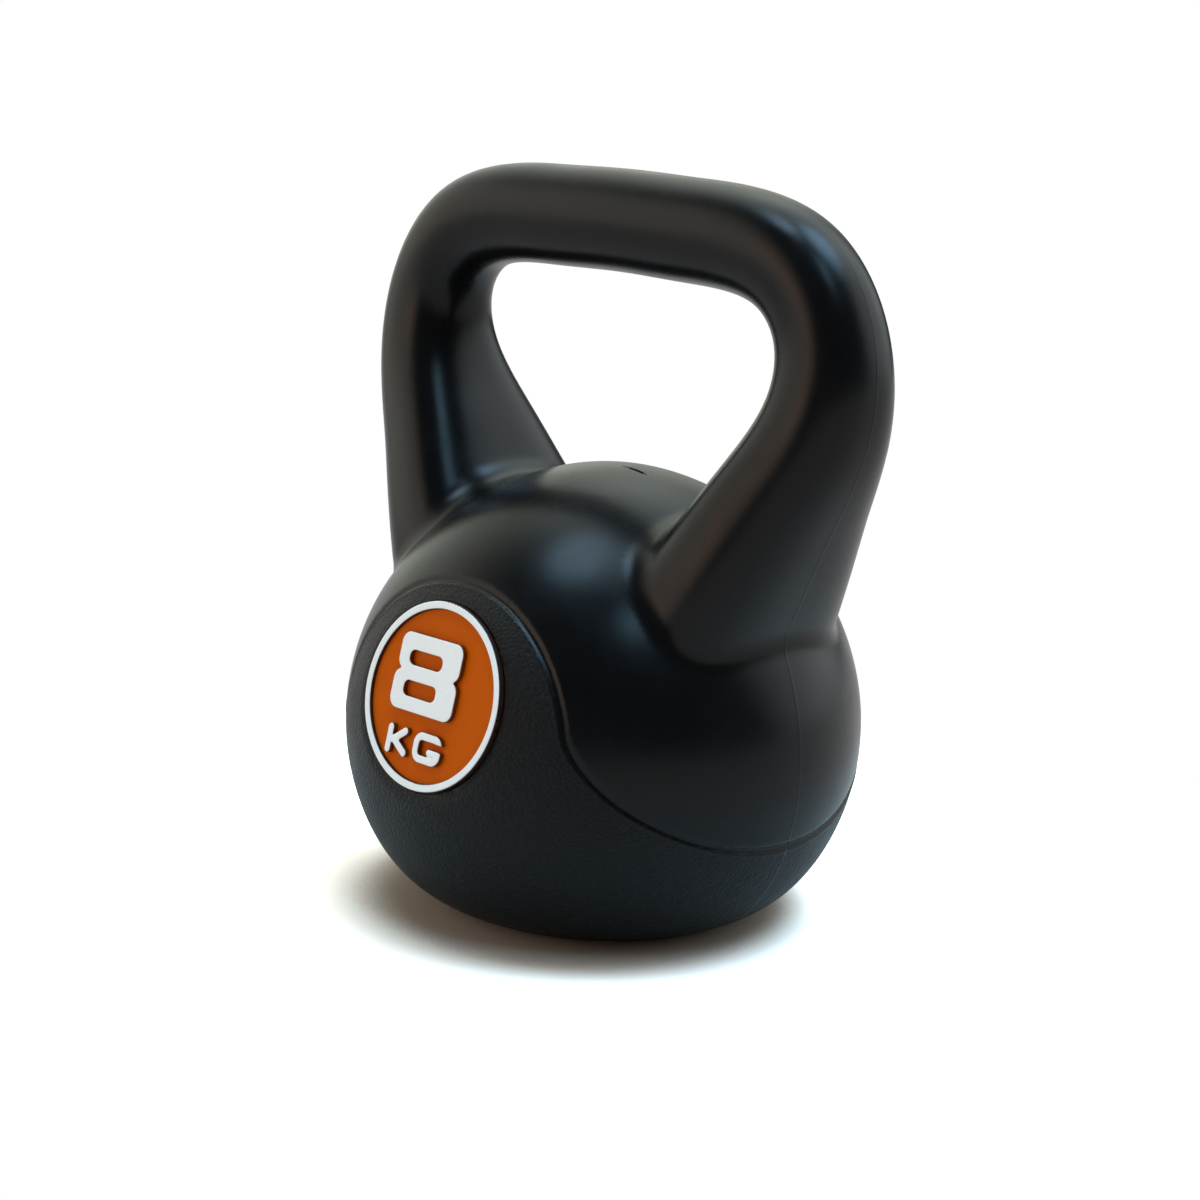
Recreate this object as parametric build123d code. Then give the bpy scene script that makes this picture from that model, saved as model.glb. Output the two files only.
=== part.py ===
"""Moulded kettlebell: a hollow plastic shell with its handle in one piece, cast full of ballast.

Lengths are in millimetres and angles in degrees. The base stands on z = 0, +Z is up, the grip
runs along X and the badge faces -Y. The origin is the centre of the base.
"""
from build123d import *
from math import atan2, cos, hypot, pi, radians, sin, sqrt
import os

# Body of the shell: a form turned about Z, in proportion to the belly. Its profile runs through
# distances from the belly's centre, every 22.5 degrees from 45 below level up to the crown
belly_radius = 92.0                     # level
belly_height = 0.792 * belly_radius     # height of the belly's centre above the floor
base_radius = 0.563 * belly_radius      # where the profile meets the floor
base_slope = 13.4                       # rise of the profile there, above level
haunch_radius = 1.021 * belly_radius    # 45 degrees below level
hip_radius = 1.03 * belly_radius        # 22.5 degrees below level
flank_radius = 0.965 * belly_radius     # 22.5 degrees above level
shoulder_radius = 0.935 * belly_radius  # 45 degrees above level
cap_radius = 0.923 * belly_radius       # 67.5 degrees above level
crown_height = 1.717 * belly_radius     # top of the body, under the grip
base_edge_fillet = 0.13 * belly_radius  # rounding where the body meets its flat base

# Handle of the shell: one loft along arcs, whose straight legs lean in and swell towards the body
grip_radius = 17.8
window_height = 67.0          # from the crown to the grip, in the middle
grip_height = crown_height + window_height + grip_radius    # of its centre line
grip_half_length = 58.4       # gentle arch of the grip, from its middle
grip_arch = 4.75              # angle that this half of the arch turns through
bend_radius = 40.1            # tight turn of the centre line beside the grip, to plumb
lean_radius = 59.6            # slower turn below it, into the leaning leg
lean_angle = 28.7
leg_length = 82.3             # straight end of the leg, down to inside the body
swell_start = 94.6            # distance along the centre line where the leg starts to swell
foot_half_thickness = 27.5
foot_half_depth = 44.7
thickness_swell = 1.85        # exponent of the growth in thickness along the leg
grip_squareness = 2.23        # exponent of the grip's superellipse; 2 is a circle
foot_squareness = 2.96        # and of the foot's
crease_fillet = 11.0          # rounding where the legs meet the body

# Walls
wall = 3.0
base_wall = 4.5
ballast_gap = 0.3             # all round the ballast, which shrinks a little as it cures

# Groove around the textured zone: an arch over the badge and a 45 degree skirt down to each side
groove_width = 1.8
groove_depth = 0.8
arch_radius = 0.602 * belly_radius
arch_height = 0.764 * belly_radius      # height of the arch's centre
skirt_height = 1.423 * belly_radius     # where the two skirt lines would cross above the arch
skirt_fillet = 0.272 * belly_radius     # inside corner between the arch and each skirt line

# Badge: a ring and a plate glued into a round seat, on a flat land that tilts up
badge_tilt = 13.5
badge_height = 0.935 * belly_radius     # height of the badge's centre, on the land
land_cut = 8.6                          # how deep the land lies in the belly's sphere
land_distance = belly_radius - land_cut     # from the belly's centre to the land, square to it
land_edge_fillet = 5.0        # soft edge of the land
seat_depth = 1.0
seat_clearance = 0.4          # around the ring
badge_proud = 1.9             # ring's front above the land
ring_radius = 32.2
ring_width = 2.7
ring_edge_fillet = 0.5
plate_recess = 1.4            # plate's face behind the ring's front
plate_clearance = 0.1
adhesive_thickness = 0.4
adhesive_margin = 1.0         # left bare around the adhesive

# Base: a shallow dish that leaves a ring to stand on, and the filling hole with its snap-in plug
dish_radius = 0.402 * belly_radius
dish_depth = 1.6
hole_radius = 17.0
counterbore_radius = 21.4
counterbore_depth = 1.8
flange_clearance = 0.4
flange_thickness = 1.6
neck_clearance = 0.2          # between the plug's neck and the hole
neck_wall = 1.8
bead_clearance = 0.2          # between the snap bead and the base wall
bead_overlap = 0.7            # how far the bead reaches over the hole's edge
bead_height = 2.0
bead_shoulder = 0.6           # height of the bead's widest circle
ballast_clearance = 1.5       # hollow left in the ballast around the plug

section_points = 12           # around each section of the handle


def superellipse(half_width, half_height, squareness):
    """Closed outline whose exponent runs from 2, an ellipse, towards a rounded rectangle."""
    points = []
    for index in range(section_points):
        angle = 2 * pi * index / section_points
        across = half_width * abs(cos(angle)) ** (2 / squareness)
        along = half_height * abs(sin(angle)) ** (2 / squareness)
        points.append(Vector(across if cos(angle) > 0 else -across, along if sin(angle) > 0 else -along))
    return Face(Wire([Edge.make_spline(points, periodic=True)]))


def centre_arcs():
    """Radius and angle of each arc of the handle's centre line, from the grip's middle down."""
    arch = radians(grip_arch)
    return ((grip_half_length / arch, arch), (bend_radius, pi / 2 - arch), (lean_radius, radians(lean_angle)))


def centre_line(distance):
    """Point and heading of the handle's centre line, a signed distance from the grip's middle."""
    side = 1 if distance >= 0 else -1
    rest = abs(distance)
    x, z, turn = 0.0, grip_height, 0.0
    for radius, angle in centre_arcs():
        step = min(rest / radius, angle)
        x += radius * (sin(turn + step) - sin(turn))
        z -= radius * (cos(turn) - cos(turn + step))
        turn += step
        rest -= radius * step
    x += rest * cos(turn)
    z -= rest * sin(turn)
    return Vector(side * x, 0, z), Vector(cos(turn), 0, -side * sin(turn))


def handle(inset):
    """Loft from foot to foot over the grip, with every section reduced by the inset."""
    grip, bend, lean = [radius * angle for radius, angle in centre_arcs()]
    bend_end = grip + bend
    lean_end = bend_end + lean
    foot = lean_end + leg_length
    distances = [0, grip / 2, grip]
    distances += [grip + bend * k / 3 for k in (1, 2, 3)]
    distances += [bend_end + lean / 2]
    distances += [lean_end + leg_length * k / 5 for k in range(6)]
    sections = []
    for distance in [-d for d in reversed(distances[1:])] + distances:
        swell = max(0.0, (abs(distance) - swell_start) / (foot - swell_start))
        half_thickness = grip_radius + (foot_half_thickness - grip_radius) * swell ** thickness_swell
        half_depth = grip_radius + (foot_half_depth - grip_radius) * swell ** 2 * (3 - 2 * swell)
        squareness = grip_squareness + (foot_squareness - grip_squareness) * swell
        point, heading = centre_line(distance)
        section = superellipse(half_depth - inset, half_thickness - inset, squareness)
        sections.append(Plane(origin=point, x_dir=(0, 1, 0), z_dir=heading) * section)
    return loft(sections)


def badge_plane(lift):
    """Plane parallel to the land, centred on the badge and lifted from the land."""
    tilt = radians(badge_tilt)
    normal = Vector(0, -cos(tilt), sin(tilt))
    rise = badge_height - belly_height
    y = -(land_distance - rise * sin(tilt)) / cos(tilt)
    return Plane(origin=Vector(0, y, badge_height) + normal * lift, x_dir=(1, 0, 0), z_dir=normal)


def body(inset, base):
    """Turned body with its flat land, an even inset inside the outer one, and a flat base."""
    radii = [haunch_radius, hip_radius, belly_radius, flank_radius, shoulder_radius, cap_radius,
             crown_height - belly_height]
    polar = [(hypot(base_radius, belly_height), atan2(-belly_height, base_radius))]
    polar += [(radius, pi / 8 * (index - 2)) for index, radius in enumerate(radii)]
    points = [Vector(cos(angle), sin(angle)) * (radius - inset) + Vector(0, belly_height)
              for radius, angle in polar]
    slope = radians(base_slope)
    flank = Spline(points, tangents=[(cos(slope), sin(slope)), (-1, 0)], tangent_scalars=[1, 1])
    toe = (0, points[0].Y)
    profile = make_face([flank, Line(points[-1], toe), Line(toe, points[0])])
    turned = revolve(Plane.YZ * profile, Axis.Z)
    if base > 0:
        turned -= Cylinder(belly_radius, base, align=(Align.CENTER, Align.CENTER, Align.MIN))
    beyond_land = badge_plane(-inset) * Box(4 * ring_radius, 4 * ring_radius, belly_radius,
                                            align=(Align.CENTER, Align.CENTER, Align.MIN))
    return turned - beyond_land


def form(inset, base):
    """Body and handle in one, rounded where the legs meet the body."""
    torso = body(inset, base)
    loop = handle(inset)
    solid = torso + loop
    creases = new_edges(torso, loop, combined=solid)
    return fillet(creases, crease_fillet + inset)


def textured_zone(grow):
    """Outline in XZ of the zone that the groove bounds, grown outwards."""
    radius = arch_radius + grow
    reach = skirt_height + grow * sqrt(2) - arch_height
    corner_x = (reach + sqrt(2 * radius ** 2 - reach ** 2)) / 2
    corner_z = arch_height + reach - corner_x
    hem_x = corner_x + corner_z
    arch = ThreePointArc((corner_x, corner_z), (0, arch_height + radius), (-corner_x, corner_z))
    hem = Polyline((-corner_x, corner_z), (-hem_x, 0), (hem_x, 0), (corner_x, corner_z))
    zone = make_face([arch, hem])
    corners = [vertex for vertex in zone.vertices() if vertex.Y > 1]
    return fillet(corners, skirt_fillet - grow)


def groove():
    """Ring of material that the groove takes out of the body, the same at front and back."""
    ribbon = textured_zone(groove_width / 2) - textured_zone(-groove_width / 2)
    band = extrude(Plane.XZ * ribbon, amount=2 * belly_radius, both=True)
    return band - body(groove_depth, groove_depth)


def disc(radius, height, z):
    return Pos(0, 0, z) * Cylinder(radius, height, align=(Align.CENTER, Align.CENTER, Align.MIN))


def make_shell():
    outside = form(0, 0)
    land = outside.faces().filter_by(GeomType.PLANE).sort_by(Axis.Z)[-1]
    outside = fillet(land.edges(), land_edge_fillet)
    outside = fillet(outside.edges().group_by(Axis.Z)[0], base_edge_fillet)
    cavity = form(wall, dish_depth + base_wall)
    shell = outside - cavity - groove()
    shell -= badge_plane(-seat_depth) * Cylinder(ring_radius + seat_clearance, 2 * seat_depth,
                                                 align=(Align.CENTER, Align.CENTER, Align.MIN))
    shell -= disc(dish_radius, 2 * dish_depth, -dish_depth)
    shell -= disc(counterbore_radius, counterbore_depth, dish_depth)
    shell -= disc(hole_radius, base_wall, dish_depth)
    return shell


def make_fill_plug():
    """Half section turned about Z: flange in the counterbore, neck in the hole, bead above it."""
    seat = dish_depth + counterbore_depth
    flange = counterbore_radius - flange_clearance
    neck = hole_radius - neck_clearance
    core = neck - neck_wall
    bead = hole_radius + bead_overlap
    bead_bottom = dish_depth + base_wall + bead_clearance
    profile = Polyline((core, seat), (0, seat), (0, seat - flange_thickness),
                       (flange, seat - flange_thickness), (flange, seat), (neck, seat),
                       (neck, bead_bottom), (bead, bead_bottom + bead_shoulder),
                       (neck - neck_wall / 2, bead_bottom + bead_height),
                       (core, bead_bottom + bead_height), (core, seat))
    return revolve(Plane.XZ * make_face(profile), Axis.Z)


def make_ballast():
    ballast = form(wall + ballast_gap, dish_depth + base_wall + ballast_gap)
    plug_top = dish_depth + base_wall + bead_clearance + bead_height
    hollow = disc(hole_radius + bead_overlap + ballast_clearance, plug_top + ballast_clearance, 0)
    return ballast - hollow


def make_badge_ring():
    height = seat_depth + badge_proud - adhesive_thickness
    ring = Cylinder(ring_radius, height, align=(Align.CENTER, Align.CENTER, Align.MIN))
    ring -= Cylinder(ring_radius - ring_width, 3 * height)
    ring = fillet(ring.edges().group_by(Axis.Z)[-1], ring_edge_fillet)
    return badge_plane(adhesive_thickness - seat_depth) * ring


def make_badge_plate():
    height = seat_depth + badge_proud - adhesive_thickness - plate_recess
    plate = Cylinder(ring_radius - ring_width - plate_clearance, height,
                     align=(Align.CENTER, Align.CENTER, Align.MIN))
    return badge_plane(adhesive_thickness - seat_depth) * plate


def make_badge_adhesive():
    pad = Cylinder(ring_radius - adhesive_margin, adhesive_thickness,
                   align=(Align.CENTER, Align.CENTER, Align.MIN))
    return badge_plane(-seat_depth) * pad


os.makedirs("parts", exist_ok=True)
for name, make in (
    ("shell", make_shell),
    ("ballast", make_ballast),
    ("fill_plug", make_fill_plug),
    ("badge_ring", make_badge_ring),
    ("badge_plate", make_badge_plate),
    ("badge_adhesive", make_badge_adhesive),
):
    export_step(make(), f"parts/{name}.step")
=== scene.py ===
"""Looks of the moulded kettlebell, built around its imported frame.

The form is worked out in millimetres in the frame's axes: +Z up, grip along X, badge facing -Y.
Objects are in metres. The shell is a function of space: its distance to a body turned about Z, joined
with a handle swept along arcs. Even meshes are pulled onto it, so walls, groove and parting line all
follow one form.
"""
import bmesh
import bpy
import math
import numpy as np
from mathutils import Matrix, Vector


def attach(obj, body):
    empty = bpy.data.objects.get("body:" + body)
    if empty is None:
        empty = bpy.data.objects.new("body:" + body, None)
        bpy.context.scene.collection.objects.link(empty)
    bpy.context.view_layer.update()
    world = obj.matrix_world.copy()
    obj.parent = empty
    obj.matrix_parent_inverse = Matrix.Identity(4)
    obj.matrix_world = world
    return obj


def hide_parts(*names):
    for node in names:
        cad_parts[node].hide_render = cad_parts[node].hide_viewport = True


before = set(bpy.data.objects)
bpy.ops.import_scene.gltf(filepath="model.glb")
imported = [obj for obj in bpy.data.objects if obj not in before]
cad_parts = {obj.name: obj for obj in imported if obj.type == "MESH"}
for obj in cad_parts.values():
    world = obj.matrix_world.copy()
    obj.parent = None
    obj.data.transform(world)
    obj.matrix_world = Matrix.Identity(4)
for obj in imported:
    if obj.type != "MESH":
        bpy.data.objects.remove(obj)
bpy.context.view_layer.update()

MM = 0.001

# Body, turned about Z: distances from the belly's centre, every 22.5 degrees from 45 below level
BELLY_HEIGHT = 72.9
BODY_RADII = (93.9, 94.8, 92.0, 88.8, 86.0, 84.9)
CROWN_HEIGHT = 158.0
BASE_RADIUS = 51.8
BASE_SLOPE = math.radians(13.4)
BASE_SOFTNESS = 0.33

# Handle: arcs of its centre line from the grip's middle, then a straight leg that swells
GRIP_RADIUS = 17.8
GRIP_HEIGHT = 242.8
GRIP_HALF_LENGTH = 58.4
GRIP_ARCH = math.radians(4.75)
BEND_RADIUS = 40.1
LEAN_RADIUS = 59.6
LEAN_ANGLE = math.radians(28.7)
LEG_LENGTH = 82.3
SWELL_START = 94.6
FOOT_HALF_THICKNESS = 27.5
FOOT_HALF_DEPTH = 44.7
THICKNESS_SWELL = 1.85
GRIP_SQUARENESS = 2.23
FOOT_SQUARENESS = 2.96
CREASE_RADIUS = 11.0

# Walls and base
WALL = 3.0
BASE_WALL = 4.5
DISH_RADIUS = 37.0
DISH_DEPTH = 1.6
HOLE_RADIUS = 17.0
COUNTERBORE_RADIUS = 21.4
COUNTERBORE_DEPTH = 1.8
RIM_CHAMFER = 0.3

# Even meshes of the skin and the cavity, started from coarse solids
ROUGH_BODY_SIDES = 72
ROUGH_HANDLE_SIDES = 24
PROFILE_STEP = 150
HANDLE_STEP = 80
SKIN_PITCH = 2.2
CAVITY_PITCH = 4.5
SPREADING_ROUNDS = 12
ROUNDS_AFTER_REFINING = 3
ROUNDS_ONTO_FORM = 3
SKIN_PULL = 0.6

# Groove around the textured zone: how deep each row beside its middle sinks, in shares of the depth
ARCH_RADIUS = 54.6
ARCH_HEIGHT = 69.6
SKIRT_HEIGHT = 129.0
SKIRT_FILLET = 40.0
SKIRT_TOP = 95.0
GROOVE_DEPTH = 0.8
GROOVE_ROWS = (-2.9, -2.1, -1.5, -1.0, -0.5, 0.0, 0.6, 1.2, 1.9, 2.7)
GROOVE_SINK = (0.0, -0.2, 0.05, 0.65, 0.97, 1.0, 0.8, 0.4, 0.1, 0.0)
GROOVE_FINE_ZONE = 6.5
GRAIN_EDGE = (1.3, 2.6)
GRAIN_PARTING = (0.3, 1.0)

# Mould's parting line, lower where it faces the window, and the nick on the crown
SEAM_HALF_WIDTH = 0.4
SEAM_HEIGHT = 0.07
SEAM_SHARE_IN_WINDOW = 0.25
WINDOW_CENTRE = (0, 0, 190)
NICK_MIDDLE = 9.8
NICK_HALF_LENGTH = 5.4
NICK_HALF_WIDTH = 1.0
NICK_DEPTH = 1.1

# How far the skin lies inside the solid, so that its relief stays within, and heights where that starts
SKIN_MARGIN = 0.17
WAVE_HEIGHT = 0.05
MARGIN_START = (0.2, 3.0)

# Badge
BADGE_TILT = math.radians(13.5)
BADGE_HEIGHT = 86.02
LAND_DISTANCE = 83.4
LAND_SOFTNESS = 0.36
SEAT_DEPTH = 1.0
SEAT_RADIUS = 32.6
BADGE_PROUD = 1.9
PLATE_RECESS = 1.4

# Figure and letters, in millimetres across and up from the badge's middle
FIGURE_PROUD = 0.4
FIGURE_SHIFT = -3.9
FIGURE_ROUNDING = 0.4
FIGURE_ROOT = 0.3
FIGURE_PITCH = 0.3
FIGURE_ROUNDS = 6
FIGURE_PULL = 0.5
LETTER_HALF_STROKE = 1.35

# Camera
CAMERA_AZIMUTH = 43.877
CAMERA_ELEVATION = 12.594
CAMERA_ROLL = math.radians(2.783)
CAMERA_DISTANCE = 0.91825
LOOK_SIDEWAYS = -0.00331
LOOK_HEIGHT = 0.10865
SENSOR_WIDTH = 36
LENS = 77.444

# Floor: how it lights the object, how the camera sees it, and the shadow painted into what the camera sees
# from ambient occlusion: which way it leans, how far it reaches and how deep it goes
FLOOR_HALF_SIZE = 3
FLOOR_COLOUR = (0.6, 0.6, 0.58)
FLOOR_SEEN = (1.28, 1.08, 0.93)
SHADOW_LEAN = (0.11, 0.21, 0.97)
SHADOW_REACH = 0.4
SHADOW_RANGE = (0.32, 0.68, 0.42, 1.55)
FLOOR_FADE = (0.15, 0.3)
FAR_FLOOR_LIGHT = 0.8

# Room, and its soft bright patches: azimuth, elevation, radius of the full and of the fading part in
# degrees, and colour; azimuth 0 is -Y and 90 is +X
ROOM = (0.05, 0.05, 0.05)
PATCHES = ((-47, 79, 0, 15, (4.4, 7.2, 9.6)),
           (-165, 66, 12, 42, (1.5, 1.75, 1.75)),
           (155, 25, 12, 42, (1.75, 1.9, 1.9)),
           (142, 67, 0, 21, (3.6, 7.0, 10.6)),
           (67, 58, 1, 11, (2.8, 5.0, 6.6)),
           (-22, 12, 2, 15, (1.3, 0.5, 0.25)),
           (-115, 30, 15, 50, (1.15, 1.2, 1.05)),
           (-45, 3, 15, 50, (1.74, 1.64, 1.42)))


# ---------------------------------------------------------------- curves

def spline(knots, values, start, end):
    """Cubic spline through rows of values, with these slopes at its ends, as a function."""
    count = len(knots)
    step = np.diff(knots)[:, None]
    rise = np.diff(values, axis=0) / step
    matrix = np.zeros((count, count))
    right = np.zeros_like(values)
    matrix[0, :2] = 2 * step[0, 0], step[0, 0]
    matrix[-1, -2:] = step[-1, 0], 2 * step[-1, 0]
    right[0] = 6 * (rise[0] - start)
    right[-1] = 6 * (end - rise[-1])
    for row in range(1, count - 1):
        before, after = step[row - 1, 0], step[row, 0]
        matrix[row, row - 1:row + 2] = before, 2 * (before + after), after
        right[row] = 6 * (rise[row] - rise[row - 1])
    bend = np.linalg.solve(matrix, right)

    def value(at):
        span = np.clip(np.searchsorted(knots, at) - 1, 0, count - 2)
        width = step[span]
        ahead = (at - knots[span])[:, None]
        back = width - ahead
        return ((bend[span] * back ** 3 + bend[span + 1] * ahead ** 3) / (6 * width)
                + (values[span] / width - bend[span] * width / 6) * back
                + (values[span + 1] / width - bend[span + 1] * width / 6) * ahead)
    return value


def body_profile(count=3000):
    """Radius and height of the body's profile, from the edge of the base up to the crown."""
    angles = np.radians(22.5) * np.arange(-2, 5)
    radii = np.array(BODY_RADII + (CROWN_HEIGHT - BELLY_HEIGHT,))
    points = np.c_[radii * np.cos(angles), radii * np.sin(angles) + BELLY_HEIGHT]
    points = np.vstack([[BASE_RADIUS, 0.0], points])
    along = np.r_[0, np.cumsum(np.hypot(*np.diff(points, axis=0).T))]
    foot = np.array([math.cos(BASE_SLOPE), math.sin(BASE_SLOPE)])
    curve = spline(along, points, foot, np.array([-1.0, 0.0]))
    return curve(np.linspace(0, along[-1], count))


PROFILE = body_profile()
PROFILE_ANGLE = np.arctan2(PROFILE[:, 1] - BELLY_HEIGHT, PROFILE[:, 0])
PROFILE_REACH = np.hypot(PROFILE[:, 1] - BELLY_HEIGHT, PROFILE[:, 0])

CENTRE_ARCS = ((GRIP_HALF_LENGTH / GRIP_ARCH, GRIP_ARCH), (BEND_RADIUS, math.pi / 2 - GRIP_ARCH),
               (LEAN_RADIUS, LEAN_ANGLE))


def centre_line(distance):
    """x, z, heading x and heading z of the handle's centre line at a distance from its middle."""
    rest, x, z, turn = distance, 0.0, GRIP_HEIGHT, 0.0
    for radius, angle in CENTRE_ARCS:
        step = min(rest / radius, angle)
        x += radius * (math.sin(turn + step) - math.sin(turn))
        z -= radius * (math.cos(turn) - math.cos(turn + step))
        turn += step
        rest -= radius * step
    return x + rest * math.cos(turn), z - rest * math.sin(turn), math.cos(turn), -math.sin(turn)


def handle_table(count=4000):
    """Distance, x, z, half thickness, half depth and squareness down one half of the handle."""
    grip, bend, lean = [radius * angle for radius, angle in CENTRE_ARCS]
    foot = grip + bend + lean + LEG_LENGTH
    stations = [0, grip / 2, grip] + [grip + bend * k / 3 for k in (1, 2, 3)]
    stations += [grip + bend + lean / 2] + [foot - LEG_LENGTH * k / 5 for k in range(5, -1, -1)]
    rows = []
    for station in stations:
        swell = max(0.0, (station - SWELL_START) / (foot - SWELL_START))
        x, z, _, _ = centre_line(station)
        rows.append((x, z,
                     GRIP_RADIUS + (FOOT_HALF_THICKNESS - GRIP_RADIUS) * swell ** THICKNESS_SWELL,
                     GRIP_RADIUS + (FOOT_HALF_DEPTH - GRIP_RADIUS) * swell ** 2 * (3 - 2 * swell),
                     GRIP_SQUARENESS + (FOOT_SQUARENESS - GRIP_SQUARENESS) * swell))
    stations, rows = np.array(stations), np.array(rows)
    heading = centre_line(foot)[2:]
    last = (rows[-1] - rows[-2]) / (stations[-1] - stations[-2])
    curve = spline(stations, rows, np.array([1.0, 0, 0, 0, 0]), np.r_[heading, last[2:]])
    at = np.linspace(0, foot, count)
    return at, curve(at)


HANDLE_AT, HANDLE_ROW = handle_table()
HANDLE_HEADING = np.gradient(HANDLE_ROW[:, :2], HANDLE_AT, axis=0)
HANDLE_HEADING /= np.linalg.norm(HANDLE_HEADING, axis=1)[:, None]

LAND_NORMAL = np.array([0, -math.cos(BADGE_TILT), math.sin(BADGE_TILT)])
LAND_UP = np.array([0, math.sin(BADGE_TILT), math.cos(BADGE_TILT)])
BADGE_RISE = BADGE_HEIGHT - BELLY_HEIGHT
LAND_CENTRE = np.array([0, -(LAND_DISTANCE - BADGE_RISE * math.sin(BADGE_TILT)) / math.cos(BADGE_TILT),
                        BADGE_HEIGHT])


# ---------------------------------------------------------------- form of the shell, as distances

def soft_max(first, second, softness):
    """The larger of two distances, rounded over where they are within the softness."""
    near = np.clip(1 - np.abs(first - second) / softness, 0, None)
    return np.maximum(first, second) + near ** 2 * softness / 4


def body_gap(points, inset, floor):
    """Distance to the turned body with its flat land for the badge, inset and over a floor."""
    radius = np.hypot(points[:, 0], points[:, 1])
    rise = points[:, 2] - BELLY_HEIGHT
    skin = np.hypot(radius, rise) - np.interp(np.arctan2(rise, radius), PROFILE_ANGLE, PROFILE_REACH)
    land = (points - LAND_CENTRE) @ LAND_NORMAL
    return soft_max(soft_max(skin, land, LAND_SOFTNESS) + inset, floor - points[:, 2], BASE_SOFTNESS)


def handle_gap(points, inset):
    """Distance to the handle, whose section is a superellipse that changes along the centre line.

    The nearest place on the centre line is found among every 40th section, then in four steps along it.
    """
    x, y, z = np.abs(points[:, 0]), points[:, 1], points[:, 2]
    coarse = slice(0, None, 40)
    away = (x[:, None] - HANDLE_ROW[coarse, 0]) ** 2 + (z[:, None] - HANDLE_ROW[coarse, 1]) ** 2
    at = HANDLE_AT[coarse][away.argmin(1)]
    for _ in range(4):
        cx, cz, thick, depth, power = (np.interp(at, HANDLE_AT, column) for column in HANDLE_ROW.T)
        tx, tz = (np.interp(at, HANDLE_AT, column) for column in HANDLE_HEADING.T)
        at = np.clip(at + (x - cx) * tx + (z - cz) * tz, 0, HANDLE_AT[-1])
    thick, depth = thick - inset, depth - inset
    across = np.abs((z - cz) * tx - (x - cx) * tz) / thick
    deep = np.abs(y) / depth
    level = np.maximum(across ** power + deep ** power, 1e-9) ** (1 / power)
    steep = np.hypot(across ** (power - 1) / thick, deep ** (power - 1) / depth)
    side = (level - 1) / np.maximum(steep * level ** (1 - power), 1e-6)
    past_foot = (x - cx) * tx + (z - cz) * tz
    return np.where(at < HANDLE_AT[-1], side, np.maximum(side, past_foot))


def slope_of(gap, points, *sizes):
    """A distance and its direction of growth."""
    reach = 0.01
    value = gap(points, *sizes)
    slope = np.stack([gap(points + reach * axis, *sizes) - value for axis in np.eye(points.shape[1])], 1)
    return value, slope / np.maximum(np.linalg.norm(slope, axis=1), 1e-12)[:, None]


def fillet_union(first, first_slope, second, second_slope, radius):
    """Both forms in one, with a rolling-ball fillet in the crease between them."""
    cosine = (first_slope * second_slope).sum(1)
    square = np.maximum(1 - cosine ** 2, 1e-3)
    along_first = ((radius - first) - (radius - second) * cosine) / square
    along_second = ((radius - second) - (radius - first) * cosine) / square
    reach = along_first[:, None] * first_slope + along_second[:, None] * second_slope
    span = np.maximum(np.linalg.norm(reach, axis=1), 1e-9)
    blend = (along_first > 0) & (along_second > 0)
    value = np.where(blend, radius - span, np.minimum(first, second))
    nearer = np.where((first < second)[:, None], first_slope, second_slope)
    return value, np.where(blend[:, None], reach / span[:, None], nearer)


def form(points, inset=0.0, floor=0.0):
    """Distance to the shell's form, inset and over a floor, and its outward direction."""
    body = slope_of(body_gap, points, inset, floor)
    handle = slope_of(handle_gap, points, inset)
    return fillet_union(*body, *handle, CREASE_RADIUS + inset)


def arch_gap(flat):
    """Distance to the disc that the groove's arch goes round, seen along the depth."""
    return np.hypot(flat[:, 0], flat[:, 1] - ARCH_HEIGHT) - ARCH_RADIUS


def skirt_gap(flat):
    """Distance to the skirt that widens at 45 degrees below the arch."""
    slant = (np.abs(flat[:, 0]) + flat[:, 1] - SKIRT_HEIGHT) / math.sqrt(2)
    return np.maximum(slant, flat[:, 1] - SKIRT_TOP)


def groove_distance(points, normals):
    """Signed distance along the surface to the groove, negative in the textured zone."""
    flat = points[:, (0, 2)]
    value, slope = fillet_union(*slope_of(arch_gap, flat), *slope_of(skirt_gap, flat), SKIRT_FILLET)
    slope = np.c_[slope[:, 0], np.zeros(len(slope)), slope[:, 1]]
    slope -= (slope * normals).sum(1)[:, None] * normals
    return value / np.maximum(np.linalg.norm(slope, axis=1), 0.2)


# ---------------------------------------------------------------- meshes

def new_piece(name, mesh):
    piece = bpy.data.objects.new(name, mesh)
    bpy.context.scene.collection.objects.link(piece)
    return piece


def mesh_of(name, vertices, faces):
    mesh = bpy.data.meshes.new(name)
    mesh.from_pydata([tuple(v) for v in vertices], [], [tuple(f) for f in faces])
    mesh.update()
    return mesh


def ringed(rings):
    """Closed solid through rings of points, with a flat cap at each end."""
    rows, columns = rings.shape[:2]
    faces = []
    for row in range(rows - 1):
        for column in range(columns):
            after = (column + 1) % columns
            faces.append((row * columns + column, row * columns + after,
                          (row + 1) * columns + after, (row + 1) * columns + column))
    faces.append(tuple(range(columns))[::-1])
    faces.append(tuple((rows - 1) * columns + column for column in range(columns)))
    return rings.reshape(-1, 3), faces


def turned(outline, segments):
    """Solid of revolution about Z through (radius, height) points."""
    angles = np.arange(segments) * 2 * math.pi / segments
    rings = np.array([[(r * math.cos(a), r * math.sin(a), z) for a in angles] for r, z in outline])
    return ringed(rings)


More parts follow.
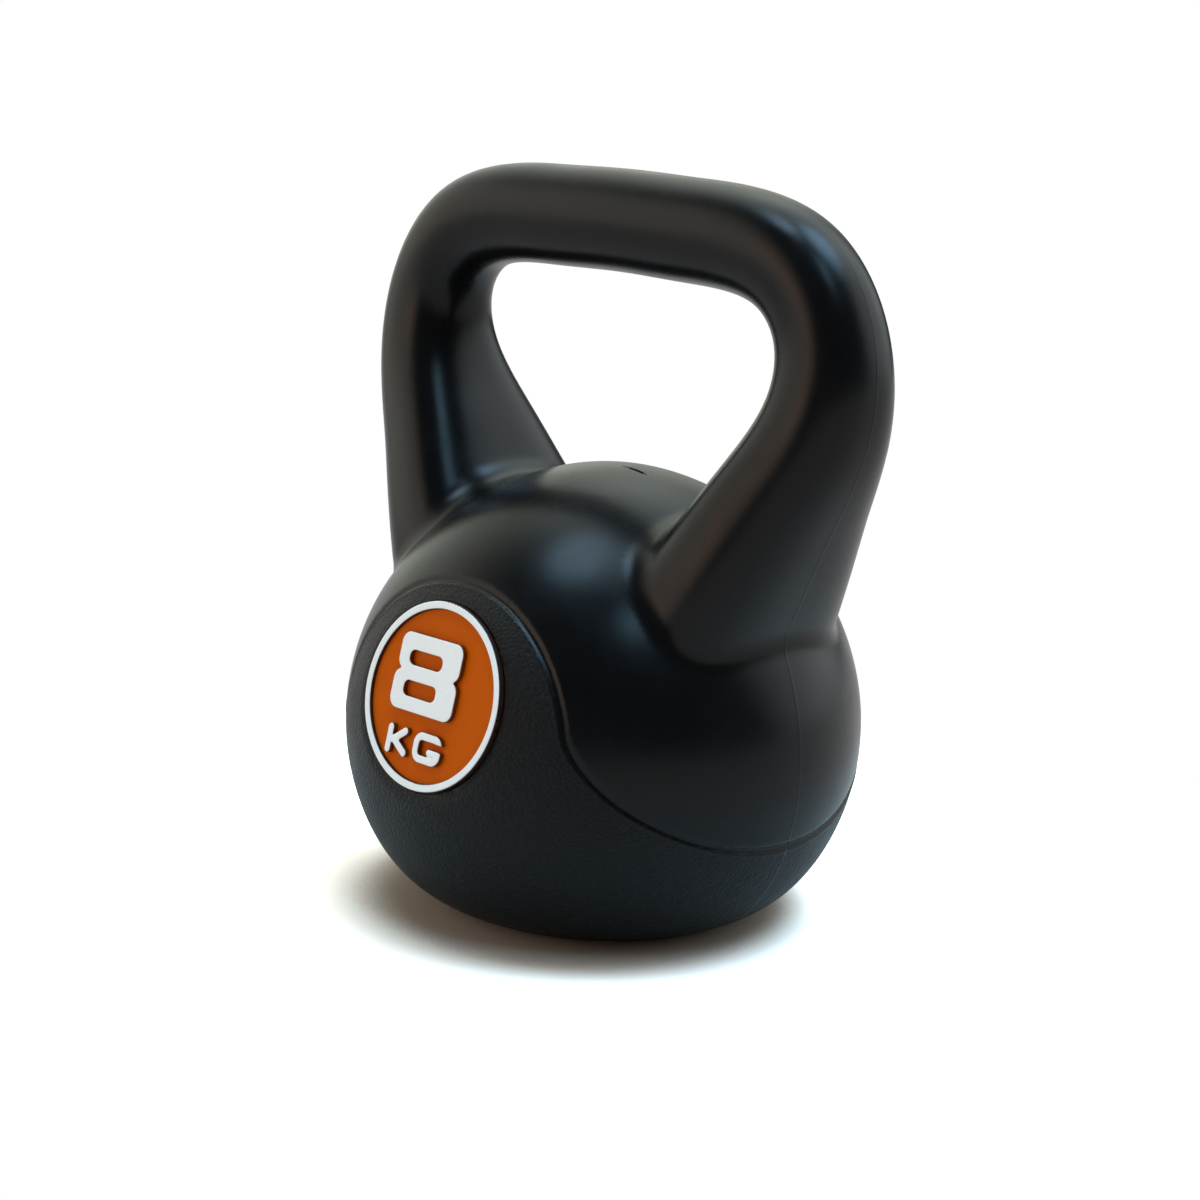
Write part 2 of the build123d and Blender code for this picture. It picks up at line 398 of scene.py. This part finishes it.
def rough_form():
    """Body and handle as two crossing solids, in millimetres."""
    body = turned(np.vstack([PROFILE[::PROFILE_STEP], [0.5, CROWN_HEIGHT]]), ROUGH_BODY_SIDES)
    angles = np.arange(ROUGH_HANDLE_SIDES) * 2 * math.pi / ROUGH_HANDLE_SIDES
    rows, headings = HANDLE_ROW[::HANDLE_STEP], HANDLE_HEADING[::HANDLE_STEP]
    rings = []
    for side, order in ((-1, slice(None, 0, -1)), (1, slice(0, None))):
        for (x, z, thick, depth, power), (tx, tz) in zip(rows[order], headings[order]):
            across = thick * np.sign(np.cos(angles)) * np.abs(np.cos(angles)) ** (2 / power)
            deep = depth * np.sign(np.sin(angles)) * np.abs(np.sin(angles)) ** (2 / power)
            rings.append(np.c_[side * (x - tz * across), deep, z + tx * across])
    return body, ringed(np.array(rings))


def voxel_form(name, pitch):
    """One even quad mesh around body and handle."""
    vertices, faces = [], []
    for points, polygons in rough_form():
        faces += [tuple(index + len(vertices) for index in polygon) for polygon in polygons]
        vertices += [tuple(point * MM) for point in points]
    piece = new_piece(name, mesh_of(name, vertices, faces))
    recalculate(piece.data)
    return even(piece, pitch)


def even(piece, pitch):
    """The piece's solids as one mesh of even quads."""
    remesh = piece.modifiers.new("remesh", "REMESH")
    remesh.mode = "VOXEL"
    remesh.voxel_size = pitch * MM
    return apply_modifiers(piece)


def recalculate(mesh):
    """Turns every face outwards."""
    work = bmesh.new()
    work.from_mesh(mesh)
    bmesh.ops.recalc_face_normals(work, faces=work.faces)
    work.to_mesh(mesh)
    work.free()


def apply_modifiers(piece):
    graph = bpy.context.evaluated_depsgraph_get()
    baked = bpy.data.meshes.new_from_object(piece.evaluated_get(graph))
    old = piece.data
    piece.modifiers.clear()
    piece.data = baked
    bpy.data.meshes.remove(old)
    return piece


def read_points(mesh):
    points = np.empty(len(mesh.vertices) * 3)
    mesh.vertices.foreach_get("co", points)
    return points.reshape(-1, 3) / MM


def write_points(mesh, points):
    mesh.vertices.foreach_set("co", (points * MM).ravel())
    mesh.update()


def settle(mesh, surface, rounds, pull=SKIN_PULL):
    """Spreads the mesh evenly over a surface, and leaves every point on it.

    The surface gives the distance and outward direction at points.
    """
    points = read_points(mesh)
    edges = np.empty(len(mesh.edges) * 2, int)
    mesh.edges.foreach_get("vertices", edges)
    edges = edges.reshape(-1, 2)
    ends = np.r_[edges[:, 0], edges[:, 1]]
    others = np.r_[edges[:, 1], edges[:, 0]]
    shares = np.bincount(ends, minlength=len(points))[:, None]
    for turn in range(rounds + ROUNDS_ONTO_FORM):
        value, slope = surface(points)
        points -= value[:, None] * slope
        if turn < rounds:
            mean = np.stack([np.bincount(ends, weights=points[others, k], minlength=len(points))
                             for k in range(3)], 1) / shares
            shift = mean - points
            shift -= (shift * slope).sum(1)[:, None] * slope
            points += pull * shift
    write_points(mesh, points)
    return points, surface(points)[1]


def refine(mesh, chosen):
    """Splits every edge between two chosen points."""
    work = bmesh.new()
    work.from_mesh(mesh)
    edges = [edge for edge in work.edges if chosen[edge.verts[0].index] and chosen[edge.verts[1].index]]
    bmesh.ops.subdivide_edges(work, edges=edges, cuts=1, use_grid_fill=True)
    work.to_mesh(mesh)
    work.free()


def cut_along(mesh, value, levels):
    """Adds a row of points at each level of a value that is given at the points."""
    work = bmesh.new()
    work.from_mesh(mesh)
    layer = work.verts.layers.float.new("value")
    for vertex, number in zip(work.verts, value):
        vertex[layer] = number
    for level in levels:
        fresh = []
        for edge in list(work.edges):
            low, high = edge.verts[0][layer] - level, edge.verts[1][layer] - level
            if low * high < 0:
                vertex = bmesh.utils.edge_split(edge, edge.verts[0], low / (low - high))[1]
                vertex[layer] = level
                fresh.append(vertex)
        bmesh.ops.connect_verts(work, verts=fresh)
    work.verts.layers.float.remove(layer)
    work.to_mesh(mesh)
    work.free()


def subtract(piece, cutter):
    """Cuts the cutter out of the piece, and deletes it."""
    boolean = piece.modifiers.new("cut", "BOOLEAN")
    boolean.operation = "DIFFERENCE"
    boolean.solver = "MANIFOLD"
    boolean.object = cutter
    apply_modifiers(piece)
    drop(cutter)


def drop(piece):
    mesh = piece.data
    bpy.data.objects.remove(piece)
    bpy.data.meshes.remove(mesh)


def lathe(name, outline, segments, to_world=Matrix()):
    """Solid turned about its own Z, in millimetres, set in place."""
    vertices, faces = turned(outline, segments)
    piece = new_piece(name, mesh_of(name, vertices * MM, faces))
    piece.data.transform(to_world)
    recalculate(piece.data)
    return piece


def badge_matrix():
    """Axes of the badge: X along the grip, and Z straight out of its land."""
    axes = Matrix(((1, 0, 0), LAND_UP, LAND_NORMAL)).transposed().to_4x4()
    return Matrix.Translation(LAND_CENTRE * MM) @ axes


def ease(value, low, high):
    """0 below low, 1 above high, and an even S between."""
    part = np.clip((value - low) / (high - low), 0, 1)
    return part * part * (3 - 2 * part)


def wave(points):
    """Slow unevenness of a blown wall, from 0 to 1."""
    x, y, z = points.T
    total = (np.sin(x / 9.1 + 1.3 * np.sin(z / 17.3)) + np.sin(y / 10.7 + 1.1 * np.sin(x / 15.1) + 2.0)
             + np.sin(z / 8.3 + 1.2 * np.sin(y / 13.9) + 4.0))
    return 0.5 + total / 6


def relief(points, normals):
    """How far the skin stands off the form: groove, parting line, nick, margin and unevenness."""
    lift = -GROOVE_DEPTH * np.interp(groove_distance(points, normals), GROOVE_ROWS, GROOVE_SINK)
    outer = ease(((points - WINDOW_CENTRE) * normals).sum(1), -10, 10)
    seam = np.clip(1 - np.abs(points[:, 1]) / SEAM_HALF_WIDTH, 0, None)
    lift += SEAM_HEIGHT * (SEAM_SHARE_IN_WINDOW + (1 - SEAM_SHARE_IN_WINDOW) * outer) * seam
    on_crown = (points[:, 2] < CROWN_HEIGHT + 2) & (normals[:, 2] > 0.9)
    along = np.clip(2 - 2 * np.abs(points[:, 0] - NICK_MIDDLE) / NICK_HALF_LENGTH, 0, 1)
    across = np.clip(1 - np.abs(points[:, 1]) / NICK_HALF_WIDTH, 0, None)
    lift -= NICK_DEPTH * along * across * on_crown
    lift -= SKIN_MARGIN + WAVE_HEIGHT * wave(points)
    return lift * ease(points[:, 2], *MARGIN_START)


def grain_share(points, normals):
    """1 in the textured zone, fading out at the groove and at the parting line."""
    groove = groove_distance(points, normals)
    return ease(-groove, *GRAIN_EDGE) * ease(np.abs(points[:, 1]), *GRAIN_PARTING)


def make_skin():
    """Outside of the shell as a closed solid, with its grain's share at every point."""
    piece = voxel_form("shell_skin", SKIN_PITCH)
    mesh = piece.data
    points, normals = settle(mesh, form, SPREADING_ROUNDS)
    refine(mesh, np.abs(groove_distance(points, normals)) < GROOVE_FINE_ZONE)
    points, normals = settle(mesh, form, ROUNDS_AFTER_REFINING)
    cut_along(mesh, groove_distance(points, normals), GROOVE_ROWS)
    cut_along(mesh, read_points(mesh)[:, 1],
              (-NICK_HALF_WIDTH, -SEAM_HALF_WIDTH, 0, SEAM_HALF_WIDTH, NICK_HALF_WIDTH))
    points, normals = settle(mesh, form, 0)
    grain = mesh.attributes.new("grain", "FLOAT", "POINT")
    grain.data.foreach_set("value", grain_share(points, normals).astype(np.float32))
    write_points(mesh, points + relief(points, normals)[:, None] * normals)
    return piece


def make_shell():
    """The skin, hollowed by the cavity, with the dish, the filling hole and the badge's seat cut in."""
    piece = make_skin()
    cavity_floor = DISH_DEPTH + BASE_WALL
    cavity = voxel_form("cavity", CAVITY_PITCH)
    settle(cavity.data, lambda points: form(points, WALL, cavity_floor), SPREADING_ROUNDS)
    subtract(piece, cavity)
    plug_seat = DISH_DEPTH + COUNTERBORE_DEPTH
    subtract(piece, lathe("dish", (
        (0.01, -5), (DISH_RADIUS + RIM_CHAMFER, -5), (DISH_RADIUS + RIM_CHAMFER, 0),
        (DISH_RADIUS, RIM_CHAMFER), (DISH_RADIUS, DISH_DEPTH),
        (COUNTERBORE_RADIUS + RIM_CHAMFER, DISH_DEPTH),
        (COUNTERBORE_RADIUS, DISH_DEPTH + RIM_CHAMFER), (COUNTERBORE_RADIUS, plug_seat),
        (HOLE_RADIUS, plug_seat), (HOLE_RADIUS, cavity_floor + 1), (0.01, cavity_floor + 1)), 144))
    subtract(piece, lathe("seat", (
        (0.01, -SEAT_DEPTH), (SEAT_RADIUS, -SEAT_DEPTH), (SEAT_RADIUS, -RIM_CHAMFER - SKIN_MARGIN),
        (SEAT_RADIUS + RIM_CHAMFER, -SKIN_MARGIN), (SEAT_RADIUS + RIM_CHAMFER, 2), (0.01, 2)),
        180, badge_matrix()))
    smooth(piece.data, 38)
    return piece


def smooth(mesh, sharp_angle):
    """Smooth shading, with edges above this angle in degrees left sharp."""
    mesh.polygons.foreach_set("use_smooth", [True] * len(mesh.polygons))
    mesh.set_sharp_from_angle(angle=math.radians(sharp_angle))


# ---------------------------------------------------------------- figure and letters of the badge

def rounded_box(flat, centre, half, radius):
    """Distance to a rectangle with rounded corners, from its centre and half sizes."""
    away = np.abs(flat - np.array(centre)) - np.array(half) + radius
    return np.linalg.norm(np.clip(away, 0, None), axis=1) + np.minimum(away.max(1), 0) - radius


def stroke(flat, start, end, half_width):
    """Distance to a straight stroke with round ends."""
    start, end = np.array(start), np.array(end)
    along = np.clip((flat - start) @ (end - start) / ((end - start) @ (end - start)), 0, 1)
    return np.linalg.norm(flat - start - along[:, None] * (end - start), axis=1) - half_width


def polyline(flat, points, half_width):
    """Distance to strokes from point to point."""
    runs = [stroke(flat, start, end, half_width) for start, end in zip(points, points[1:])]
    return np.min(runs, axis=0)


def eight(flat):
    """Two rounded blocks, one on the other, each with a slot."""
    upper = rounded_box(flat, (0.7, 12.8), (15.1, 6.6), 3.9)
    lower = rounded_box(flat, (0.5, -0.2), (15.5, 6.9), 3.9)
    blocks = -soft_max(-upper, -lower, 0.6)
    slots = np.minimum(rounded_box(flat, (-1.2, 11.1), (8.0, 2.5), 2.2),
                       rounded_box(flat, (-1.4, 0.6), (7.8, 2.6), 2.0))
    return soft_max(blocks, -slots, 0.2)


def letter_k(flat):
    """A stem, and two arms from one point."""
    return np.minimum(polyline(flat, ((-11.1, -13.7), (-11.1, -21.2)), LETTER_HALF_STROKE),
                      polyline(flat, ((-3.9, -13.8), (-8.8, -17.4), (-3.1, -21.1)), LETTER_HALF_STROKE))


def letter_g(flat):
    """A rounded ring with a mouth cut in its side and a bar from there inwards."""
    outline = np.abs(rounded_box(flat, (7.8, -17.4), (5.5, 3.85), 2.6)) - LETTER_HALF_STROKE
    mouth = rounded_box(flat, (12.3, -16.25), (5.0, 1.25), 0.3)
    bar = polyline(flat, ((9.0, -18.4), (13.1, -18.4)), 1.2)
    return -soft_max(-soft_max(outline, -mouth, 0.3), -bar, 0.4)


def stepped(name, outline, corners, low, high):
    """Solid of square steps between two heights, over the cells whose middle lies inside the outline."""
    (x0, y0), (x1, y1) = corners
    xs, ys = np.arange(x0, x1, FIGURE_PITCH), np.arange(y0, y1, FIGURE_PITCH)
    centres = np.stack(np.meshgrid(xs, ys, indexing="ij"), -1)
    inside = outline(centres.reshape(-1, 2)).reshape(len(xs), len(ys)) < 0
    work = bmesh.new()
    grid = {}

    def corner(i, j, z):
        if (i, j, z) not in grid:
            place = x0 + (i - 0.5) * FIGURE_PITCH, y0 + (j - 0.5) * FIGURE_PITCH, z
            grid[i, j, z] = work.verts.new(place)
        return grid[i, j, z]

    for i, j in np.argwhere(inside):
        ring = ((i, j), (i + 1, j), (i + 1, j + 1), (i, j + 1))
        beside = ((i, j - 1), (i + 1, j), (i, j + 1), (i - 1, j))
        work.faces.new([corner(*at, high) for at in ring])
        work.faces.new([corner(*at, low) for at in ring[::-1]])
        for at, to, side in zip(ring, ring[1:] + ring[:1], beside):
            if not inside[side]:
                work.faces.new([corner(*at, low), corner(*to, low), corner(*to, high), corner(*at, high)])
    mesh = bpy.data.meshes.new(name)
    work.to_mesh(mesh)
    work.free()
    mesh.transform(Matrix.Scale(MM, 4))
    return mesh


def raised(name, outline, corners):
    """Character standing in the plate, with rounded edges, from the distance to its outline."""
    low, high = BADGE_PROUD - PLATE_RECESS - FIGURE_ROOT, BADGE_PROUD + FIGURE_PROUD
    middle, half = (low + high) / 2, (high - low) / 2

    def gap(points):
        side = outline(points[:, :2])
        ends = np.abs(points[:, 2] - middle) - half
        away = np.c_[side, ends] + FIGURE_ROUNDING
        outside = np.linalg.norm(np.clip(away, 0, None), axis=1)
        return outside + np.minimum(away.max(1), 0) - FIGURE_ROUNDING

    piece = even(new_piece(name, stepped(name, outline, corners, low, high)), FIGURE_PITCH)
    settle(piece.data, lambda points: slope_of(gap, points), FIGURE_ROUNDS, FIGURE_PULL)
    piece.data.transform(badge_matrix() @ Matrix.Translation((FIGURE_SHIFT * MM, 0, 0)))
    smooth(piece.data, 60)
    return piece


# ---------------------------------------------------------------- materials

class Graph:
    """Node tree, with short ways to add nodes and to fill their sockets."""

    def __init__(self, tree):
        self.tree = tree

    def put(self, value, socket):
        """Fills a socket with a number, a vector, a colour or another node's output."""
        if isinstance(value, bpy.types.NodeSocket):
            self.tree.links.new(value, socket)
        elif socket.type == "RGBA":
            socket.default_value = (*value, 1)
        else:
            socket.default_value = value

    def new(self, kind, **values):
        """Node with these settings and socket values; spaces in socket names are underscores."""
        node = self.tree.nodes.new(kind)
        for name, value in values.items():
            if hasattr(node, name):
                setattr(node, name, value)
            else:
                self.put(value, node.inputs[name.replace("_", " ")])
        return node

    def filled(self, node, *values):
        for socket, value in zip(node.inputs, values):
            self.put(value, socket)
        return node

    def math(self, operation, first, second, clamp=False):
        node = self.new("ShaderNodeMath", operation=operation, use_clamp=clamp)
        return self.filled(node, first, second).outputs[0]

    def dot(self, first, second):
        node = self.new("ShaderNodeVectorMath", operation="DOT_PRODUCT")
        return self.filled(node, first, second).outputs["Value"]

    def scaled(self, vector, factor):
        node = self.new("ShaderNodeVectorMath", operation="SCALE", Scale=factor)
        return self.filled(node, vector).outputs["Vector"]

    def range(self, value, low, high, to_low, to_high, kind="LINEAR"):
        node = self.new("ShaderNodeMapRange", interpolation_type=kind)
        return self.filled(node, value, low, high, to_low, to_high).outputs[0]

    def tint(self, factor, first, second):
        """Colour between two colours."""
        node = self.new("ShaderNodeMix", data_type="RGBA")
        for socket, value in zip((node.inputs[0], *node.inputs[6:8]), (factor, first, second)):
            self.put(value, socket)
        return node.outputs[2]

    def seen_directly(self):
        """1 for rays from the camera or through glass, else 0."""
        path = self.new("ShaderNodeLightPath").outputs
        return self.math("ADD", path["Is Camera Ray"], path["Is Transmission Ray"], clamp=True)


class Finish(Graph):
    """Material with its Principled shader, worked out from the object's own coordinates."""

    def __init__(self, name, **values):
        self.material = bpy.data.materials.new(name)
        self.material.use_nodes = True
        super().__init__(self.material.node_tree)
        self.shader = self.tree.nodes["Principled BSDF"]
        self.place = self.new("ShaderNodeTexCoord").outputs["Object"]
        self.shade(**values)

    def shade(self, **values):
        """Fills sockets of the shader."""
        for name, value in values.items():
            self.put(value, self.shader.inputs[name.replace("_", " ")])

    def noise(self, size, detail=2.0, roughness=0.5):
        node = self.new("ShaderNodeTexNoise", Vector=self.place, Scale=1 / (size * MM), Detail=detail,
                        Roughness=roughness)
        return node.outputs[0]

    def bump(self, height, depth):
        return self.new("ShaderNodeBump", Distance=depth * MM, Height=height).outputs[0]


def black_plastic():
    """Satin moulded plastic, with a fine leather grain where the mesh says so."""
    finish = Finish("black_plastic", Specular_IOR_Level=0.18)
    grain = finish.new("ShaderNodeAttribute", attribute_name="grain").outputs["Fac"]
    cells = finish.new("ShaderNodeTexVoronoi", feature="SMOOTH_F1", Vector=finish.place,
                       Scale=1 / (1.2 * MM), Smoothness=0.5, Randomness=1.0).outputs["Distance"]
    pebbles = finish.math("ADD", finish.math("MULTIPLY", cells, -1.2), finish.noise(0.45, 3.0, 0.6))
    relief_node = finish.new("ShaderNodeBump", Distance=0.3 * MM,
                             Height=finish.math("MULTIPLY", pebbles, grain),
                             Normal=finish.bump(finish.noise(3.5), 0.012))
    smudge = finish.range(finish.noise(18, 3.0, 0.6), 0.3, 0.7, -0.035, 0.035)
    finish.shade(
        Base_Color=finish.tint(finish.noise(7, 3.0), (0.0030, 0.0032, 0.0036), (0.0048, 0.0048, 0.0050)),
        Roughness=finish.math("ADD", finish.range(grain, 0, 1, 0.27, 0.42), smudge),
        Normal=relief_node.outputs[0])
    return finish.material


def gloss_plastic(name, dark, light, roughness, specular, wall_colour_and_shade=None):
    """Trim with a faint unevenness in colour, gloss and surface. Given a colour for its sides, the faces
    turned away from the badge's front take that darker colour, a painted shade standing in for the shadow
    on its side walls.
    """
    finish = Finish(name, Specular_IOR_Level=specular)
    colour = finish.tint(finish.noise(9, 3.0, 0.6), dark, light)
    # Faces turned away from the badge's front get the darker side colour: painted shade on the side walls.
    if wall_colour_and_shade:
        normal = finish.new("ShaderNodeTexCoord").outputs["Normal"]
        front = finish.range(finish.dot(normal, LAND_NORMAL), 0.55, 0.8, 0, 1)
        colour = finish.tint(front, wall_colour_and_shade, colour)
    finish.shade(
        Base_Color=colour,
        Roughness=finish.range(finish.noise(5, 3.0, 0.6), 0.3, 0.7, roughness - 0.03, roughness + 0.03),
        Normal=finish.bump(finish.noise(2.5), 0.002))
    return finish.material


def matt(name, dark, light, roughness, size, depth):
    """Dull surface with speckles of a size, as deep as this, in millimetres."""
    finish = Finish(name, Roughness=roughness)
    speckle = finish.noise(size, 5.0, 0.65)
    finish.shade(Base_Color=finish.tint(speckle, dark, light), Normal=finish.bump(speckle, depth))
    return finish.material


def paper():
    """White paper that keeps the object's shadow near it, darkened further by a shadow painted from
    ambient occlusion into what the camera sees, and is plain white further out.
    """
    finish = Finish("floor_paper", Roughness=0.95, Specular_IOR_Level=0.0)
    direct = finish.seen_directly()
    # What the camera sees of the paper is darkened where ambient occlusion, leaned to one side, finds the
    # object close: a painted shadow over the lit one.
    lean = finish.filled(finish.new("ShaderNodeCombineXYZ"), *SHADOW_LEAN).outputs[0]
    open_sky_for_painted_shadow = finish.new("ShaderNodeAmbientOcclusion", Distance=SHADOW_REACH, Normal=lean).outputs["AO"]
    seen_with_painted_shadow = finish.scaled(FLOOR_SEEN, finish.range(open_sky_for_painted_shadow, *SHADOW_RANGE, "SMOOTHSTEP"))
    finish.shade(Base_Color=finish.tint(direct, FLOOR_COLOUR, seen_with_painted_shadow))
    white = finish.new("ShaderNodeEmission", Color=(1, 1, 1),
                       Strength=finish.range(direct, 0, 1, FAR_FLOOR_LIGHT, 1.0))
    distance = finish.filled(finish.new("ShaderNodeVectorMath", operation="LENGTH"), finish.place)
    far = finish.range(distance.outputs["Value"], *FLOOR_FADE, 0, 1)
    blend = finish.filled(finish.new("ShaderNodeMixShader"), far, finish.shader.outputs[0],
                          white.outputs[0])
    finish.put(blend.outputs[0], finish.tree.nodes["Material Output"].inputs["Surface"])
    return finish.material


# ---------------------------------------------------------------- camera, stage and light

def direction(azimuth, elevation):
    """Unit vector at these degrees: azimuth 0 is -Y and 90 is +X."""
    azimuth, elevation = math.radians(azimuth), math.radians(elevation)
    return (math.sin(azimuth) * math.cos(elevation), -math.cos(azimuth) * math.cos(elevation),
            math.sin(elevation))


def aim_camera():
    camera = bpy.data.objects.new("camera", bpy.data.cameras.new("camera"))
    bpy.context.scene.collection.objects.link(camera)
    bpy.context.scene.camera = camera
    back = Vector(direction(CAMERA_AZIMUTH, CAMERA_ELEVATION))
    right = Vector(direction(CAMERA_AZIMUTH + 90, 0))
    place = right * LOOK_SIDEWAYS + Vector((0, 0, LOOK_HEIGHT)) + back * CAMERA_DISTANCE
    axes = Matrix((right, back.cross(right), back)).transposed().to_4x4()
    camera.matrix_world = Matrix.Translation(place) @ axes @ Matrix.Rotation(CAMERA_ROLL, 4, "Z")
    camera.data.sensor_width = SENSOR_WIDTH
    camera.data.lens = LENS


def surroundings():
    """Dim room with soft bright patches; the camera sees plain white."""
    world = bpy.data.worlds.new("world")
    bpy.context.scene.world = world
    world.use_nodes = True
    graph = Graph(world.node_tree)
    seen = graph.new("ShaderNodeTexCoord").outputs["Generated"]
    total = ROOM
    for azimuth, elevation, inner, outer, colour in PATCHES:
        facing = graph.dot(seen, direction(azimuth, elevation))
        edge, full = math.cos(math.radians(outer)), math.cos(math.radians(inner))
        patch = graph.scaled(colour, graph.range(facing, edge, full, 0, 1, "SMOOTHSTEP"))
        total = graph.filled(graph.new("ShaderNodeVectorMath"), total, patch).outputs["Vector"]
    colour = graph.tint(graph.seen_directly(), total, (1, 1, 1))
    graph.put(colour, graph.tree.nodes["Background"].inputs["Color"])


def lay_floor():
    size = FLOOR_HALF_SIZE
    corners = ((-size, -size, 0), (size, -size, 0), (size, size, 0), (-size, size, 0))
    floor = new_piece("floor", mesh_of("floor", corners, [(0, 1, 2, 3)]))
    floor.data.materials.append(paper())


# ---------------------------------------------------------------- the kettlebell

def dress_shell():
    shell = make_shell()
    shell.data.materials.clear()
    shell.data.materials.append(black_plastic())
    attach(shell, "root")
    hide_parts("shell")


def raise_characters():
    """The figure over its two letters, each as its outline and the corners of its field."""
    # The figure's white top is its own paint; its sides get the plate's orange darkened to brown, painted
    # shade standing in for the shadow on the side walls.
    paint = gloss_plastic("figure_white_top_and_painted_wall_shade", (0.88, 0.90, 0.89), (0.91, 0.92, 0.91), 0.25, 0.4,
                          (0.16, 0.028, 0.001))
    for name, outline, corners in (("figure_8", eight, ((-17, -9), (17, 22))),
                                   ("letter_k", letter_k, ((-15, -23), (0, -10))),
                                   ("letter_g", letter_g, ((-2, -23), (16, -10)))):
        character = raised(name, outline, corners)
        character.data.materials.append(paint)
        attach(character, "root")


def dress_nodes():
    finishes = {
        # The ring's white front is its own colour; its side walls get a near-black brown, a painted shade
        # for the shadow in the gap round the ring and on the plate inside it.
        "badge_ring": gloss_plastic("ring_white_and_painted_wall_shade", (0.86, 0.88, 0.87), (0.92, 0.93, 0.92), 0.3, 0.4,
                                    (0.035, 0.014, 0.008)),
        "badge_plate": gloss_plastic("orange_plastic", (0.55, 0.09, 0.0005), (0.64, 0.108, 0.0005), 0.35,
                                     0.03),
        "badge_adhesive": matt("adhesive", (0.66, 0.66, 0.63), (0.78, 0.78, 0.75), 0.7, 0.6, 0.05),
        "fill_plug": matt("plug_plastic", (0.011, 0.011, 0.012), (0.018, 0.018, 0.019), 0.5, 0.8, 0.06),
        "ballast": matt("cement", (0.30, 0.29, 0.27), (0.48, 0.47, 0.44), 0.9, 3.0, 0.3)}
    for node, material in finishes.items():
        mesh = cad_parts[node].data
        mesh.materials.clear()
        mesh.materials.append(material)


dress_shell()
raise_characters()
dress_nodes()
aim_camera()
lay_floor()
surroundings()
bpy.context.scene.view_settings.view_transform = "Standard"
